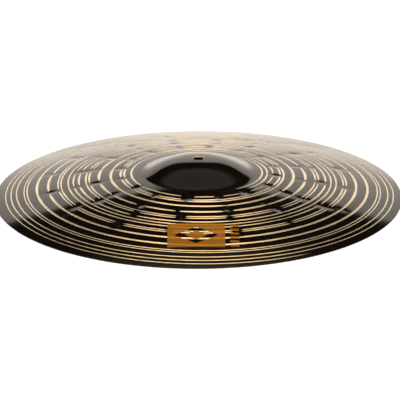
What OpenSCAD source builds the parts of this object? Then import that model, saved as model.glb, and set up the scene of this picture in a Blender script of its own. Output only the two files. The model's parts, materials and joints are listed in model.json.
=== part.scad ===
// Crash cymbal, 18 inch: one sheet of cast bronze with a bell, a long shallow bow and a centre hole,
// and two thin marks of ink printed on top of it. The edge lies in the plane z = 0, with the bell up.

/* [Plate] */
// Outer diameter
plate_d = 457.2; // [430:0.1:485]
// Thickness of the sheet at the hole
crown_t = 1.2; // [0.8:0.1:2]
// Thickness of the sheet at the edge
edge_t = 0.9; // [0.6:0.1:1.5]
// Radius of the arc that the bow follows from the bell to the edge
bow_arc_r = 1100; // [1000:10:1300]
// Slope of the bow at the edge, in degrees
edge_slope = 13.3; // [12:0.1:14]

/* [Bell] */
// Height of the crown above the edge plane
bell_top = 43.2; // [41:0.1:48]
// Radius of the flat arc over the crown
crown_arc_r = 195; // [150:5:300]
// How far that arc reaches from the centre
crown_end_r = 17; // [12:0.5:20]
// Radius of the arc that goes on from there down the bell's shoulder
shoulder_r = 89; // [80:1:100]
// Radius of the hollow round the foot of the bell
foot_r = 24; // [10:1:30]
// Diameter of the centre hole
hole_d = 12.5; // [10:0.1:14]

/* [Printed marks] */
// Thickness of the ink
ink_t = 0.05; // [0.02:0.01:0.2]
// Width of the emblem
emblem_w = 61; // [40:1:70]
// Length of the emblem, from the bell side to the edge side
emblem_l = 48; // [30:1:50]
// Width of the emblem's border at its narrowest
emblem_line = 7; // [3:0.5:9]
// Size of the emblem's solid middle, as a share of the whole emblem
emblem_core = 0.4; // [0.2:0.05:0.5]
// Distance of the middle of both marks from the centre of the cymbal
mark_r = 165.5; // [150:0.5:175]
// Distance of the emblem from the middle line, to the left
emblem_shift = 2.5; // [0:0.5:8]
// Distance of the side mark from the middle line, to the right
side_shift = 38; // [36:0.5:50]
// Number of bars in the side mark
side_bars = 6; // [3:1:9]
// Length of the side mark, from its first bar to its last
side_l = 45; // [30:1:50]
// Width of the side mark
side_w = 9.5; // [6:0.5:12]

/* [Hidden] */

rim_r = plate_d / 2;
hole_r = hole_d / 2;
edge_top = edge_t / cos(edge_slope);
bow_c = [rim_r - bow_arc_r * sin(edge_slope), edge_top - bow_arc_r * cos(edge_slope)];
crown_c = [0, bell_top - crown_arc_r];
crown_tilt = asin(crown_end_r / crown_arc_r);
shoulder_c = crown_c + (crown_arc_r - shoulder_r) * [sin(crown_tilt), cos(crown_tilt)];
foot_c = crossing(shoulder_c, shoulder_r + foot_r, bow_c, bow_arc_r + foot_r);
bell_end_r = shoulder_c[0] + (foot_c[0] - shoulder_c[0]) * shoulder_r / (shoulder_r + foot_r);
bow_start_r = bow_c[0] + (foot_c[0] - bow_c[0]) * bow_arc_r / (bow_arc_r + foot_r);

// Radii at which the top and the underside have a point
crown_stations = spaced(hole_r, crown_end_r, 3);
shoulder_stations = spaced(crown_end_r, bell_end_r, 9);
foot_stations = spaced(bell_end_r, bow_start_r, 8);
bow_stations = concat(spaced(bow_start_r, rim_r, 20), [rim_r]);
stations = concat(crown_stations, shoulder_stations, foot_stations, bow_stations);

side_bar_pitch = side_l / (side_bars - 0.5);
side_bar_l = side_bar_pitch / 2;
cutter_h = 2 * bell_top;
fn_plate = 180;

// The point on the right where the circle of radius a about p meets the circle of radius b about q
function crossing(p, a, q, b) =
    let (
        d = norm(q - p),
        u = (q - p) / d,
        along = (d * d + a * a - b * b) / (2 * d),
        across = sqrt(a * a - along * along)
    )
    p + u * along + [-u[1], u[0]] * across;

// Evenly spaced radii from start, up to the step before end
function spaced(start, end, steps) = [for (i = [0:steps - 1]) start + (end - start) * i / steps];

// Height and slope of the top at radius r: crown, shoulder, the hollow at the bell's foot, then the bow
function arc_z(r, c, arc_r) = c[1] + sqrt(pow(arc_r, 2) - pow(r - c[0], 2));
function top_z(r) =
    r < crown_end_r ? arc_z(r, crown_c, crown_arc_r)
    : r < bell_end_r ? arc_z(r, shoulder_c, shoulder_r)
    : r < bow_start_r ? foot_c[1] - sqrt(pow(foot_r, 2) - pow(r - foot_c[0], 2))
    : arc_z(r, bow_c, bow_arc_r);
function top_slope(r) =
    r < crown_end_r ? asin((r - crown_c[0]) / crown_arc_r)
    : r < bell_end_r ? asin((r - shoulder_c[0]) / shoulder_r)
    : r < bow_start_r ? asin((foot_c[0] - r) / foot_r)
    : asin((r - bow_c[0]) / bow_arc_r);
function sheet_t(r) = crown_t + (edge_t - crown_t) * (r - hole_r) / (rim_r - hole_r);
function under_z(r) = top_z(r) - sheet_t(r) / cos(top_slope(r));

function reversed(list) = [for (i = [len(list) - 1:-1:0]) list[i]];

// The bronze sheet: bell, bow and edge in one piece
module cymbal_plate() {
    top = [for (r = stations) [r, top_z(r)]];
    under = [for (r = stations) [r, under_z(r)]];
    color([0.16, 0.14, 0.12])
        rotate_extrude($fn = fn_plate)
            polygon(concat(top, reversed(under)));
}

// The layer of ink over the whole bow, before it is cut to a mark
module ink_layer() {
    low = [for (r = bow_stations) [r, top_z(r)]];
    high = [for (r = bow_stations) [r, top_z(r) + ink_t]];
    rotate_extrude($fn = fn_plate)
        polygon(concat(low, reversed(high)));
}

module lozenge(w, l) {
    polygon([[w / 2, 0], [0, l / 2], [-w / 2, 0], [0, -l / 2]]);
}

// A plain rectangle with a lozenge cut out of it, and a smaller lozenge in the middle
module emblem_outline() {
    difference() {
        square([emblem_w, emblem_l], center = true);
        lozenge(emblem_w - 2 * emblem_line, emblem_l - 2 * emblem_line);
    }
    lozenge(emblem_w * emblem_core, emblem_l * emblem_core);
}

module printed_emblem() {
    color([0.67, 0.41, 0.12])
        intersection() {
            ink_layer();
            translate([-emblem_shift, -mark_r])
                linear_extrude(cutter_h)
                    emblem_outline();
        }
}

// A column of plain bars beside the emblem
module printed_side_mark() {
    color([0.67, 0.41, 0.12])
        intersection() {
            ink_layer();
            for (i = [0:side_bars - 1])
                translate([side_shift - side_w / 2, i * side_bar_pitch - mark_r - side_l / 2, 0])
                    cube([side_w, side_bar_l, cutter_h]);
        }
}

cymbal_plate();
printed_emblem();
printed_side_mark();
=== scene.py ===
"""Looks of the crash cymbal.

The plate is one closed mesh of bare bronze with the hammer marks and the lathe's cuts in it. A thin dark
patina lies on it everywhere except in the cuts, and the printed marks lie over both. Lengths are in
millimetres up to the point where a mesh is made.
"""
import json
import math

import bpy
import numpy as np
from mathutils import Matrix, Vector


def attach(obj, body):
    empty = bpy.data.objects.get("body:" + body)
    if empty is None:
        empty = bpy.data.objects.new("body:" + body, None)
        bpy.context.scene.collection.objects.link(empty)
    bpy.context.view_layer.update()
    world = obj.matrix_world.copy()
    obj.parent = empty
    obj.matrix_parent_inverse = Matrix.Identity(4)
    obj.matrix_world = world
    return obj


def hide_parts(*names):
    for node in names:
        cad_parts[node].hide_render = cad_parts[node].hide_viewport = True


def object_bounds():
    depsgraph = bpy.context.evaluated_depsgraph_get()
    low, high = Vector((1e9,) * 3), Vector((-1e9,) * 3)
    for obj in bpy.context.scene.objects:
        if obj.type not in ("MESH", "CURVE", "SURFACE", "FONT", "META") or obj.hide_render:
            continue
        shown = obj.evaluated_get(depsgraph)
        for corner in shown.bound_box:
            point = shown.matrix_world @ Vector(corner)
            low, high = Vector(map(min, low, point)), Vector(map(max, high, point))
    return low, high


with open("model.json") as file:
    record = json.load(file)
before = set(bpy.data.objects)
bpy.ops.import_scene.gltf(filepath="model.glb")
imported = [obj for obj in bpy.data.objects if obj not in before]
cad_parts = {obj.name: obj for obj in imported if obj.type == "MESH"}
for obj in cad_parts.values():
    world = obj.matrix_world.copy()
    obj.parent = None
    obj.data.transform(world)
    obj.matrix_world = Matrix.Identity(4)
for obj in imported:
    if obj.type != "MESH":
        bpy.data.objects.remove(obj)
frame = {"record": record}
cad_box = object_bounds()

MM = 0.001
TURN = 2 * math.pi

# ---- The plate's smooth shape, as in the CAD -------------------------------------------------------------

hole = next(m for m in frame["record"]["mounts"] if m["name"] == "centre_hole")
RIM_R = (cad_box[1].x - cad_box[0].x) / 2 / MM
HOLE_R = hole["dims"]["r_mm"]
CROWN_T = hole["dims"]["length_mm"]
EDGE_T = 0.9
BOW_ARC_R = 1100.0
EDGE_SLOPE = math.radians(13.3)
BELL_TOP = 43.2
CROWN_ARC_R = 195.0
CROWN_END_R = 17.0
SHOULDER_R = 89.0
FOOT_R = 24.0


def crossing(p, a, q, b):
    """The point on the right where the circle of radius a about p meets the circle of radius b about q."""
    between = np.subtract(q, p)
    distance = np.hypot(*between)
    u = between / distance
    along = (distance**2 + a * a - b * b) / (2 * distance)
    across = math.sqrt(a * a - along * along)
    return p + u * along + np.array([-u[1], u[0]]) * across


BOW_C = np.array([
    RIM_R - BOW_ARC_R * math.sin(EDGE_SLOPE),
    EDGE_T / math.cos(EDGE_SLOPE) - BOW_ARC_R * math.cos(EDGE_SLOPE),
])
CROWN_C = np.array([0, BELL_TOP - CROWN_ARC_R])
CROWN_TILT = math.asin(CROWN_END_R / CROWN_ARC_R)
SHOULDER_C = CROWN_C + (CROWN_ARC_R - SHOULDER_R) * np.array([math.sin(CROWN_TILT), math.cos(CROWN_TILT)])
FOOT_C = crossing(SHOULDER_C, SHOULDER_R + FOOT_R, BOW_C, BOW_ARC_R + FOOT_R)
BELL_END_R = SHOULDER_C[0] + (FOOT_C[0] - SHOULDER_C[0]) * SHOULDER_R / (SHOULDER_R + FOOT_R)
BOW_START_R = BOW_C[0] + (FOOT_C[0] - BOW_C[0]) * BOW_ARC_R / (BOW_ARC_R + FOOT_R)
# Each arc of the top: where it ends, its centre and radius, and 1 where it is hollow below
ARCS = [
    (CROWN_END_R, CROWN_C, CROWN_ARC_R, 1),
    (BELL_END_R, SHOULDER_C, SHOULDER_R, 1),
    (BOW_START_R, FOOT_C, FOOT_R, -1),
    (RIM_R, BOW_C, BOW_ARC_R, 1),
]


def by_arc(r, values):
    """The value for the arc that holds each radius."""
    return np.select([r < arc[0] for arc in ARCS[:-1]], values[:-1], values[-1])


def smooth_z(r):
    """Height of the smooth top at radius r."""
    return by_arc(r, [c[1] + way * np.sqrt(np.maximum(a * a - (r - c[0]) ** 2, 0)) for _, c, a, way in ARCS])


def smooth_slope(r):
    """Slope of the smooth top at radius r, as an angle."""
    return by_arc(r, [np.arcsin(np.clip(way * (r - c[0]) / a, -1, 1)) for _, c, a, way in ARCS])


def sheet_t(r):
    """Upright thickness of the sheet at radius r."""
    return (CROWN_T + (EDGE_T - CROWN_T) * (r - HOLE_R) / (RIM_R - HOLE_R)) / np.cos(smooth_slope(r))


def ramp(x, start, end):
    """0 before start, 1 after end, and smooth between them."""
    t = np.clip((x - start) / (end - start), 0, 1)
    return t * t * (3 - 2 * t)


# ---- Hammer marks ----------------------------------------------------------------------------------------

random = np.random.default_rng(18)

COLUMNS = 16
# The hammer's own centre lies off the plate's
HAMMER_C = (0.0, 6.0)
HAMMER_START = math.radians(14)
# Radius of each row, and the depth of its blows in the odd columns and in the even ones
ROWS = [
    (90.0, 0.68, 0.44),
    (115.5, 0.34, 0.64),
    (136.5, 0.62, 0.33),
    (163.5, 0.30, 0.64),
    (178.0, 0.08, 0.16),
]
BLOW_LENGTH = 6.2
BLOW_WIDTH = 4.2
# How far a blow strays from its column and row, and from pointing at the hammer's centre
COLUMN_STRAY = 0.022
ROW_STRAY = 1.8
TURN_STRAY = 0.12
# The least and the most that a blow's depth and size are of the usual
BLOW_SPREAD = (0.85, 1.15)
# Each blow also sinks the sheet by this share of its depth, further out
HOLLOW_SHARE = 0.24
HOLLOW_LENGTH = 10.5
HOLLOW_WIDTH = 12.5
# Long shallow waves that the hammering leaves
WAVE_COUNT = 7
WAVE_HEIGHTS = (0.008, 0.02)
WAVE_LENGTHS = (34, 70)
# The hammering grows over this stretch outside the bell, and fades out between these radii
HAMMER_RISE = (3, 16)
HAMMER_FADE = (182, 205)


def blows():
    """Place, direction, depth and size of every hammer blow."""
    made = []
    for radius, odd, even in ROWS:
        for column in range(COLUMNS):
            angle = HAMMER_START + TURN * column / COLUMNS + random.normal(0, COLUMN_STRAY)
            r = radius + random.normal(0, ROW_STRAY)
            depth = (odd if column % 2 else even) * random.uniform(*BLOW_SPREAD)
            turn = angle + random.normal(0, TURN_STRAY)
            x = HAMMER_C[0] + r * math.cos(angle)
            y = HAMMER_C[1] + r * math.sin(angle)
            made.append((x, y, turn, depth, random.uniform(*BLOW_SPREAD)))
    return made


def waves():
    """Height, wavelength, direction and phase of every wave."""
    ranges = (WAVE_HEIGHTS, WAVE_LENGTHS, (0, math.pi), (0, TURN))
    return [[random.uniform(*ends) for ends in ranges] for _ in range(WAVE_COUNT)]


BLOWS = blows()
WAVES = waves()


def hammered(x, y):
    """How far the hammered sheet stands above its smooth shape. The bell and the edge aren't hammered."""
    r = np.hypot(x, y)
    height = np.zeros_like(r)
    for wave, length, direction, phase in WAVES:
        run = x * math.cos(direction) + y * math.sin(direction)
        height += wave * np.sin(run * TURN / length + phase)
    for bx, by, angle, depth, size in BLOWS:
        along = (x - bx) * math.cos(angle) + (y - by) * math.sin(angle)
        across = (y - by) * math.cos(angle) - (x - bx) * math.sin(angle)
        blow = np.exp(-((along / BLOW_LENGTH / size) ** 2) - (across / BLOW_WIDTH / size) ** 2)
        hollow = np.exp(-((along / HOLLOW_LENGTH) ** 2) - (across / HOLLOW_WIDTH) ** 2)
        height -= depth * (blow + HOLLOW_SHARE * hollow)
    start, end = (BOW_START_R + rise for rise in HAMMER_RISE)
    return height * ramp(r, start, end) * (1 - ramp(r, *HAMMER_FADE))


# ---- Lathe cuts ------------------------------------------------------------------------------------------

# The lathe's centre lies this far off the plate's, to +X
LATHE_SHIFT = 4.2
# The lines round the plate lose that shift over this width before the rim
SHIFT_FADE = 7.5
FULL = (0, 360)
# Radius, depth, nose radius of the tool, and the arc in degrees over which it touched the sheet
TOP_CUTS = [
    (67.5, 0.10, 5.2, (302, 415)),
    (73.1, 0.14, 5.0, (313, 410)),
    (79.6, 0.18, 3.3, FULL),
    (87.6, 0.25, 3.6, FULL),
    (91.7, 0.25, 3.6, FULL),
    (102.7, 0.30, 4.6, FULL),
    (116.0, 0.20, 7.0, FULL),
    (127.0, 0.19, 2.7, FULL),
    (130.8, 0.19, 2.7, FULL),
    (138.6, 0.20, 3.5, FULL),
    (144.8, 0.20, 2.2, FULL),
    (150.6, 0.20, 2.2, FULL),
    (158.6, 0.18, 2.4, FULL),
    (162.0, 0.18, 2.4, FULL),
    (173.0, 0.27, 3.8, FULL),
    (185.8, 0.22, 4.2, FULL),
    (196.8, 0.13, 1.9, FULL),
    (200.2, 0.12, 1.5, FULL),
    (208.6, 0.13, 1.8, FULL),
    (214.8, 0.13, 1.6, FULL),
    (220.8, 0.12, 1.3, (8, 302)),
]
UNDER_CUTS = [(r, 0.14, 4.6, FULL) for r in np.arange(74, 222, 10.5)]
# An arc's cut gets shallow over this many degrees at each end
RUN_OUT = 10.0
# How much of the hammering the tool meets on the underside, where the blows stand out
UNDER_SHARE = -0.25


def place(radius, angle):
    """Where the point at this radius and angle round the lathe's centre is. The hole and the rim aren't
    shifted."""
    shift = LATHE_SHIFT * ramp(radius, HOLE_R, BOW_START_R) * (1 - ramp(radius, RIM_R - SHIFT_FADE, RIM_R))
    return shift + radius * np.cos(angle), radius * np.sin(angle)


def cut_shape(cut, angle, share):
    """Depth below the bronze and half width of a cut, all along its ring. The tool meets a share of the
    hammering."""
    radius, depth, nose, (start, end) = cut
    met = depth + share * hammered(*place(np.full_like(angle, radius), angle))
    if (start, end) != FULL:
        turned = (np.degrees(angle) - start) % 360
        met *= ramp(turned, 0, RUN_OUT) * (1 - ramp(turned, end - start - RUN_OUT, end - start))
    met = np.maximum(met, 0)
    return met, np.sqrt(2 * nose * met)


# ---- Lines round the plate -------------------------------------------------------------------------------

# Points in a line round the plate
AROUND = 432
ANGLES = np.arange(AROUND) * TURN / AROUND
PATINA_T = 0.04
# Usual distance between lines on the stretches between cuts, and on the bell
LAND_STEP = 2.6
BELL_STEP = 5.0
# Where the lines lie across a cut, from one lip to the other
TOP_CUT_STEPS = (-1, -0.4, 0.4, 1)
UNDER_CUT_STEPS = (-1, 0, 1)
# The bare plate keeps a hairline here where a cut doesn't reach it
LEAST_HALF = 0.03
# Radial width of the bare ring round the hole
HOLE_LIP = 0.25
EDGE_SEAM_R = RIM_R - EDGE_T / 2
# Where the lines round the edge lie. Turn 1 is the top seam and -1 the lower one.
BARE_EDGE_TURNS = (0.6, 0.2, -0.2, -0.6)
PATINA_EDGE_TURNS = (0.66, 0.33, 0)


class Face:
    """The top or the underside of the sheet, with its cuts."""

    def __init__(self, way, cuts, cut_steps, share):
        self.way = way
        self.radii = [cut[0] for cut in cuts]
        self.shapes = [cut_shape(cut, ANGLES, share) for cut in cuts]
        self.cut_steps = cut_steps

    def skin(self, x, y):
        """Height of the patina's outer face."""
        r = np.hypot(x, y)
        under = 0 if self.way > 0 else sheet_t(r)
        return smooth_z(r) - under + hammered(x, y)

    def line(self, radius, drop):
        """The points all the way round at a radius, this far below the patina's outer face."""
        x, y = place(np.broadcast_to(radius, ANGLES.shape), ANGLES)
        return np.stack([x, y, self.skin(x, y) - self.way * drop], axis=1)

    def lands(self, least):
        """The inner and outer radius of each stretch between cuts. A cut's half width counts as at least this
        much."""
        cuts = [(r, np.maximum(half, least)) for r, (_, half) in zip(self.radii, self.shapes)]
        inner = [HOLE_R + HOLE_LIP] + [r + half for r, half in cuts]
        outer = [r - half for r, half in cuts] + [EDGE_SEAM_R]
        return list(zip(inner, outer))


TOP = Face(1, TOP_CUTS, TOP_CUT_STEPS, 1)
UNDER = Face(-1, UNDER_CUTS, UNDER_CUT_STEPS, UNDER_SHARE)


def land_stations(inner, outer):
    """Radii from one to the other, both included. They are further apart on the bell."""
    inner, outer = inner * np.ones_like(ANGLES), outer * np.ones_like(ANGLES)
    bell = float(np.mean(inner)) < HOLE_R + 1
    width = float(np.mean(outer - inner))
    count = max(1, round(width / (BELL_STEP if bell else LAND_STEP)))
    return [inner + (outer - inner) * i / count for i in range(count + 1)]


def groove(face, index):
    """The lines across one cut, without its two lips."""
    depth, half = face.shapes[index]
    half = np.maximum(half, LEAST_HALF)
    steps = face.cut_steps[1:-1]
    return [face.line(face.radii[index] + half * u, PATINA_T + depth * (1 - u * u)) for u in steps]


def round_edge(inset, turns):
    """Lines round the rim's edge, this far inside its outer face."""
    high, low = TOP.line(EDGE_SEAM_R, 0)[:, 2], UNDER.line(EDGE_SEAM_R, 0)[:, 2]
    middle, half = (high + low) / 2, (high - low) / 2
    lines = []
    for turn in turns:
        a = turn * math.pi / 2
        x, y = place(np.full_like(ANGLES, EDGE_SEAM_R + math.cos(a) * (EDGE_T / 2 - inset)), ANGLES)
        lines.append(np.stack([x, y, middle + math.sin(a) * (half - inset)], axis=1))
    return lines


def plate_lines():
    """The bare plate: over the top with its cuts, round the edge, back under and up the hole's wall."""

    def side(face):
        lines = []
        for index, (inner, outer) in enumerate(face.lands(LEAST_HALF)):
            if index:
                lines += groove(face, index - 1)
            lines += [face.line(station, PATINA_T) for station in land_stations(inner, outer)]
        return lines

    wall = [face.line(HOLE_R, PATINA_T + HOLE_LIP) for face in (UNDER, TOP)]
    return side(TOP) + round_edge(PATINA_T, BARE_EDGE_TURNS) + side(UNDER)[::-1] + wall


def patina_bands(face):
    """The patina on one face: the lines round each of its closed thin bands."""
    bands = []
    for inner, outer in face.lands(0):
        stations = land_stations(inner, outer)
        above = [face.line(station, 0) for station in stations]
        below = [face.line(station, 2 * PATINA_T) for station in stations]
        bands.append((above, below))
    turns = [face.way * turn for turn in PATINA_EDGE_TURNS]
    bands[-1][0].extend(round_edge(0, turns))
    bands[-1][1].extend(round_edge(2 * PATINA_T, turns))
    return [above + below[::-1] for above, below in bands]


# ---- Meshes ----------------------------------------------------------------------------------------------


# Faces that meet at more than this look sharp
SHARP_ANGLE = math.radians(50)


def outward(vertices, quads):
    """The quads, turned over if they face inwards."""
    a, b, c, d = (vertices[quads[:, i]] for i in range(4))
    volume = np.sum(np.cross(a, b) * c) + np.sum(np.cross(a, c) * d)
    return quads if volume > 0 else quads[:, ::-1]


def closed_skin(lines, ends_meet):
    """Vertices and quads of a closed skin. Its lines follow each other in a circle. Each line closes on
    itself, or else has a cap at both ends, where the lines lie in pairs above each other."""
    count, around = len(lines), len(lines[0])
    steps = around if ends_meet else around - 1
    line, step = np.meshgrid(np.arange(count), np.arange(steps), indexing="ij")
    after, onward = (line + 1) % count, (step + 1) % around
    corners = ((line, step), (after, step), (after, onward), (line, onward))
    quads = [np.stack([row * around + column for row, column in corners], axis=-1).reshape(-1, 4)]
    if not ends_meet:
        upper = np.arange(count // 2 - 1)
        cap = np.stack([upper, count - 1 - upper, count - 2 - upper, upper + 1], axis=-1) * around
        quads += [cap, cap[:, ::-1] + around - 1]
    vertices = np.concatenate(lines)
    return vertices, outward(vertices, np.concatenate(quads))


def piece_of(name, skins, material, replaced):
    """A piece made of closed skins, which rides on the plate's body."""
    starts = np.cumsum([0] + [len(vertices) for vertices, _ in skins[:-1]])
    vertices = np.concatenate([vertices for vertices, _ in skins]) * MM
    quads = np.concatenate([quads + start for (_, quads), start in zip(skins, starts)])
    mesh = bpy.data.meshes.new(name)
    mesh.from_pydata(vertices.tolist(), [], quads.tolist())
    mesh.polygons.foreach_set("use_smooth", np.ones(len(mesh.polygons), bool))
    mesh.set_sharp_from_angle(angle=SHARP_ANGLE)
    mesh.materials.append(material)
    piece = bpy.data.objects.new(name, mesh)
    bpy.context.collection.objects.link(piece)
    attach(piece, "root")
    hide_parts(replaced)
    return piece


# ---- Printed marks ---------------------------------------------------------------------------------------

# Middle of both marks, to the front of the plate's centre
MARK_Y = -165.5
EMBLEM_X = -2.5
EMBLEM_W, EMBLEM_L = 61.0, 48.0
EMBLEM_LINE = 7.0
EMBLEM_CORE = 0.4
SIDE_X = 38.0
SIDE_W, SIDE_L = 9.5, 45.0
SIDE_BARS = 6
# The ink's outer face stands this far over what it is printed on, and its inner face sinks this far in
INK_OVER = 0.08
INK_SUNK = 0.03
INK_STEP = 0.8
# Width over which ink on a cut's lip turns from one tone to the other
LIP_BLEND = 0.5


def over_cuts(x, y):
    """How much of each point lies over a cut, and how far the surface is sunk there."""
    radius, angle = np.hypot(x - LATHE_SHIFT, y), np.arctan2(y, x - LATHE_SHIFT)
    share, sunk = np.zeros_like(x), np.zeros_like(x)
    for cut in TOP_CUTS:
        depth, half = cut_shape(cut, angle, 1)
        off = np.abs(radius - cut[0])
        inside = np.clip((half - off) / LIP_BLEND + 0.5, 0, 1) * (depth > 0)
        share = np.maximum(share, inside)
        bowl = np.clip(1 - (off / (half + 1e-6)) ** 2, 0, 1)
        sunk = np.maximum(sunk, inside * (PATINA_T + depth * bowl))
    return share, sunk


def ink_skin(plans, ends_meet):
    """A closed skin of ink on the plan lines, which are lists of x and y."""

    def lifted(x, y, lift):
        return np.stack([x, y, TOP.skin(x, y) - over_cuts(x, y)[1] + lift], axis=1)

    above = [lifted(x, y, INK_OVER) for x, y in plans]
    below = [lifted(x, y, -INK_SUNK) for x, y in plans]
    return closed_skin(above + below[::-1], ends_meet)


def emblem_border():
    """Plan lines from a rectangle in to the lozenge cut out of it. Both pass 8 matching points."""
    rectangle = np.array([(1, 1), (0, 1), (-1, 1), (-1, 0), (-1, -1), (0, -1), (1, -1), (1, 0), (1, 1)])
    lozenge = rectangle / np.abs(rectangle).sum(axis=1, keepdims=True)
    half = np.array([EMBLEM_W, EMBLEM_L]) / 2
    corners = np.arange(9)
    turns = np.arange(0, 8, 8 * INK_STEP / (2 * EMBLEM_W + 2 * EMBLEM_L))
    outer, inner = (
        np.stack([np.interp(turns, corners, shape[:, axis] * size[axis]) for axis in (0, 1)])
        for shape, size in ((rectangle, half), (lozenge, half - EMBLEM_LINE))
    )
    count = round(EMBLEM_L / 2 / INK_STEP)
    middle = np.array([[EMBLEM_X], [MARK_Y]])
    return [middle + outer + (inner - outer) * i / count for i in range(count + 1)]


def grid(width, length, middle, slanted):
    """Plan lines that fill a rectangle, or a lozenge if slanted."""
    count = max(2, round(max(width, length) / INK_STEP))
    b = np.linspace(-1, 1, count + 1)
    lines = []
    for a in b:
        u, v = ((a + b) / 2, (a - b) / 2) if slanted else (np.full_like(b, a), b)
        lines.append((middle[0] + u * width / 2, middle[1] + v * length / 2))
    return lines


def emblem_skins():
    """The emblem's border and its solid middle."""
    core = grid(EMBLEM_W * EMBLEM_CORE, EMBLEM_L * EMBLEM_CORE, (EMBLEM_X, MARK_Y), True)
    return [ink_skin(emblem_border(), True), ink_skin(core, False)]


def side_mark_skins():
    """The bars of the side mark."""
    pitch = SIDE_L / (SIDE_BARS - 0.5)
    first = MARK_Y - SIDE_L / 2 + pitch / 4
    middles = [(SIDE_X, first + pitch * i) for i in range(SIDE_BARS)]
    return [ink_skin(grid(SIDE_W, pitch / 2, middle, False), False) for middle in middles]


def mark_cuts(piece):
    """Gives each point of a printed piece the share of it that lies over a cut."""
    points = np.array([v.co[:] for v in piece.data.vertices]) / MM
    share, _ = over_cuts(points[:, 0], points[:, 1])
    attribute = piece.data.attributes.new("over_cut", "FLOAT", "POINT")
    attribute.data.foreach_set("value", share.astype(np.float32))


# ---- Materials -------------------------------------------------------------------------------------------


class Nodes:
    """Short forms for building one material's nodes."""

    def __init__(self, name):
        self.material = bpy.data.materials.new(name)
        self.material.use_nodes = True
        self.tree = self.material.node_tree
        self.shader = self.tree.nodes["Principled BSDF"]
        self.place = self.new("ShaderNodeTexCoord").outputs["Object"]

    def new(self, kind, **settings):
        node = self.tree.nodes.new(kind)
        for key, value in settings.items():
            setattr(node, key, value)
        return node

    def link(self, source, target):
        self.tree.links.new(source, target)

    def attribute(self, name):
        return self.new("ShaderNodeAttribute", attribute_name=name).outputs["Fac"]

    def noise(self, scale, detail=3.0):
        node = self.new("ShaderNodeTexNoise")
        node.inputs["Scale"].default_value = scale
        node.inputs["Detail"].default_value = detail
        self.link(self.place, node.inputs["Vector"])
        return node.outputs["Fac"]

    def turned_lines(self, scale):
        """Noise that changes only with the distance from the lathe's centre."""
        shifted = self.new("ShaderNodeVectorMath", operation="SUBTRACT")
        shifted.inputs[1].default_value = (LATHE_SHIFT * MM, 0, 0)
        self.link(self.place, shifted.inputs[0])
        flat = self.new("ShaderNodeVectorMath", operation="MULTIPLY")
        flat.inputs[1].default_value = (1, 1, 0)
        self.link(shifted.outputs[0], flat.inputs[0])
        length = self.new("ShaderNodeVectorMath", operation="LENGTH")
        self.link(flat.outputs[0], length.inputs[0])
        node = self.new("ShaderNodeTexNoise", noise_dimensions="1D")
        node.inputs["Scale"].default_value = scale
        self.link(length.outputs["Value"], node.inputs["W"])
        return node.outputs["Fac"]

    def spread(self, noise, low, high):
        """Noise, which is mostly between 0.3 and 0.7, as values between low and high."""
        node = self.new("ShaderNodeMapRange")
        for key, number in zip(("From Min", "From Max", "To Min", "To Max"), (0.3, 0.7, low, high)):
            node.inputs[key].default_value = number
        self.link(noise, node.inputs["Value"])
        return node.outputs["Result"]

    def mix(self, factor, first, second):
        node = self.new("ShaderNodeMix", data_type="RGBA")
        self.link(factor, node.inputs[0])
        for socket, colour in ((node.inputs[6], first), (node.inputs[7], second)):
            if isinstance(colour, tuple):
                socket.default_value = (*colour, 1)
            else:
                self.link(colour, socket)
        return node.outputs[2]

    def bump(self, height, strength, distance, before=None):
        node = self.new("ShaderNodeBump")
        node.inputs["Strength"].default_value = strength
        node.inputs["Distance"].default_value = distance
        self.link(height, node.inputs["Height"])
        if before is not None:
            self.link(before, node.inputs["Normal"])
        return node.outputs["Normal"]


def patina_material():
    """Dark glossy oxide: near black with a breath of brown, a faint orange peel and fainter turned lines."""
    n = Nodes("patina")
    cloud = n.spread(n.noise(14, 4), 0, 1)
    n.link(n.mix(cloud, (0.0012, 0.0008, 0.0005), (0.0028, 0.0019, 0.0012)), n.shader.inputs["Base Color"])
    n.link(n.spread(n.noise(60, 5), 0.05, 0.09), n.shader.inputs["Roughness"])
    peel = n.bump(n.noise(240, 2), 0.03, 0.0004)
    n.link(n.bump(n.turned_lines(900), 0.01, 0.0002, peel), n.shader.inputs["Normal"])
    n.shader.inputs["IOR"].default_value = 1.45
    return n.material


def bronze_material():
    """Freshly turned bronze under clear lacquer, with the tool's fine lines along each cut."""
    n = Nodes("turned_bronze")
    patches = n.spread(n.noise(30, 4), 0, 1)
    n.link(n.mix(patches, (0.99, 0.83, 0.54), (1.0, 0.90, 0.64)), n.shader.inputs["Base Color"])
    n.link(n.spread(n.noise(160, 4), 0.46, 0.56), n.shader.inputs["Roughness"])
    n.link(n.bump(n.turned_lines(3500), 0.25, 0.0001), n.shader.inputs["Normal"])
    n.shader.inputs["Metallic"].default_value = 1.0
    n.shader.inputs["Coat Weight"].default_value = 1.0
    n.shader.inputs["Coat Roughness"].default_value = 0.12
    # The lines run round the plate, so they spread the light towards its centre and its rim
    round_plate = n.new("ShaderNodeTangent", direction_type="RADIAL", axis="Z")
    n.link(round_plate.outputs["Tangent"], n.shader.inputs["Tangent"])
    n.shader.inputs["Anisotropic"].default_value = 0.86
    n.shader.inputs["Anisotropic Rotation"].default_value = 0.25
    return n.material


def ink_material():
    """Matt orange-brown ink, a little see-through, so that it is brighter where bronze lies under it."""
    n = Nodes("printing_ink")
    grain = n.spread(n.noise(900, 3), 0, 1)
    over_patina = n.mix(grain, (0.130, 0.049, 0.0012), (0.160, 0.062, 0.0018))
    over_bronze = n.mix(grain, (0.26, 0.098, 0.005), (0.32, 0.122, 0.007))
    n.link(n.mix(n.attribute("over_cut"), over_patina, over_bronze), n.shader.inputs["Base Color"])
    n.link(n.spread(n.noise(300, 3), 0.48, 0.62), n.shader.inputs["Roughness"])
    n.link(n.bump(n.noise(1500, 2), 0.15, 0.0001), n.shader.inputs["Normal"])
    n.shader.inputs["Specular IOR Level"].default_value = 0.1
    return n.material


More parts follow.
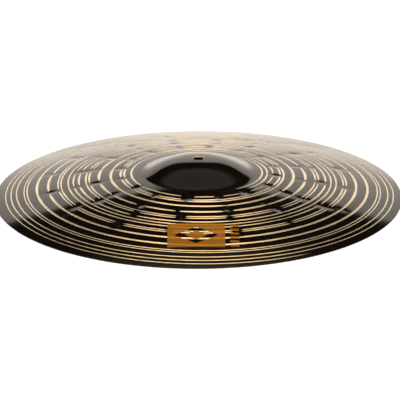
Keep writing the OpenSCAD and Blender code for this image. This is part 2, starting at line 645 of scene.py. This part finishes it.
# ---- The pieces ------------------------------------------------------------------------------------------

PATINA = patina_material()
INK = ink_material()
piece_of("bronze_plate", [closed_skin(plate_lines(), True)], bronze_material(), "cymbal_plate")
for name, face in (("patina_top", TOP), ("patina_underside", UNDER)):
    bands = [closed_skin(lines, True) for lines in patina_bands(face)]
    piece_of(name, bands, PATINA, "cymbal_plate")
mark_cuts(piece_of("emblem_ink", emblem_skins(), INK, "printed_emblem"))
mark_cuts(piece_of("side_mark_ink", side_mark_skins(), INK, "printed_side_mark"))

# ---- Camera, light and floor -----------------------------------------------------------------------------

VIEW_ELEVATION = math.radians(19.69)
VIEW_DISTANCE = 2.5
SENSOR = 36.0
LENS = 199.5
VIEW_ROLL = math.radians(-0.17)
# How far the cymbal's centre lies from the middle of the picture, as a share of its width
OFF_CENTRE = (-0.0038, 0.0142)


def camera():
    """The camera at the picture's angle, a little off the cymbal's centre."""
    data = bpy.data.cameras.new("camera")
    data.lens = LENS
    data.sensor_width = SENSOR
    data.clip_start, data.clip_end = 0.05, 50
    made = bpy.data.objects.new("camera", data)
    bpy.context.collection.objects.link(made)
    back = Vector((0, -math.cos(VIEW_ELEVATION), math.sin(VIEW_ELEVATION)))
    aim = (-back).to_track_quat("-Z", "Y").to_matrix().to_4x4()
    turn_right = math.atan(OFF_CENTRE[0] * SENSOR / LENS)
    turn_down = math.atan(OFF_CENTRE[1] * SENSOR / LENS)
    aim = aim @ Matrix.Rotation(turn_right, 4, "Y") @ Matrix.Rotation(-turn_down, 4, "X")
    made.matrix_world = Matrix.Translation(back * VIEW_DISTANCE) @ aim @ Matrix.Rotation(VIEW_ROLL, 4, "Z")
    bpy.context.scene.camera = made


# Sine of the height over the horizon, and the light that comes from there
SKY = [
    (0.0, 1.9), (0.08, 1.75), (0.16, 1.36), (0.25, 1.22), (0.440, 1.15),
    (0.462, 0.010), (0.66, 0.03), (0.76, 0.34), (1.0, 0.42),
]
SKY_TINT = (1.0, 0.905, 0.80)
LAMP_TINT = (1.0, 0.94, 0.88)
# The light that the cuts in front mirror
CUT_TINT = (1.0, 0.71, 0.45)


def surroundings():
    """A band of soft white light all round, bright at the horizon, with dimmer light above it."""
    world = bpy.data.worlds.new("studio")
    bpy.context.scene.world = world
    world.use_nodes = True
    tree = world.node_tree
    direction = tree.nodes.new("ShaderNodeTexCoord").outputs["Generated"]
    apart = tree.nodes.new("ShaderNodeSeparateXYZ")
    tree.links.new(direction, apart.inputs[0])
    bands = tree.nodes.new("ShaderNodeValToRGB")
    bands.color_ramp.interpolation = "LINEAR"
    stops = bands.color_ramp.elements
    while len(stops) < len(SKY):
        stops.new(0.5)
    for stop, (height, light) in zip(stops, SKY):
        stop.position = height
        stop.color = (*(light * part for part in SKY_TINT), 1)
    tree.links.new(apart.outputs["Z"], bands.inputs[0])
    tree.links.new(bands.outputs[0], tree.nodes["Background"].inputs["Color"])


def lamp(name, where, size, power, tint, mirrored):
    """A soft oval lamp that shines straight down. It is either only mirrored, or only lights what is matt."""
    data = bpy.data.lights.new(name, "AREA")
    data.shape = "ELLIPSE"
    data.size, data.size_y = size
    data.energy = power
    data.color = tint
    made = bpy.data.objects.new(name, data)
    made.location = where
    made.visible_glossy = mirrored
    made.visible_diffuse = not mirrored
    bpy.context.collection.objects.link(made)


def floor():
    """A plain pale floor."""
    n = Nodes("floor")
    n.link(n.mix(n.noise(3, 2), (0.80, 0.79, 0.78), (0.82, 0.81, 0.80)), n.shader.inputs["Base Color"])
    n.shader.inputs["Roughness"].default_value = 0.7
    bpy.ops.mesh.primitive_plane_add(size=40)
    made = bpy.context.object
    made.name = "floor"
    made.data.materials.append(n.material)


camera()
surroundings()
lamp("overhead", (0, -0.35, 2.6), (3.2, 0.6), 55, CUT_TINT, True)
lamp("fill", (0, -0.15, 2.6), (0.5, 0.5), 70, LAMP_TINT, False)
# Lights the floor behind, which the far side of the bow mirrors
lamp("floor_lamp", (0, 0.75, 1.3), (0.9, 0.9), 14, LAMP_TINT, False)
floor()
bpy.context.scene.view_settings.view_transform = "Standard"
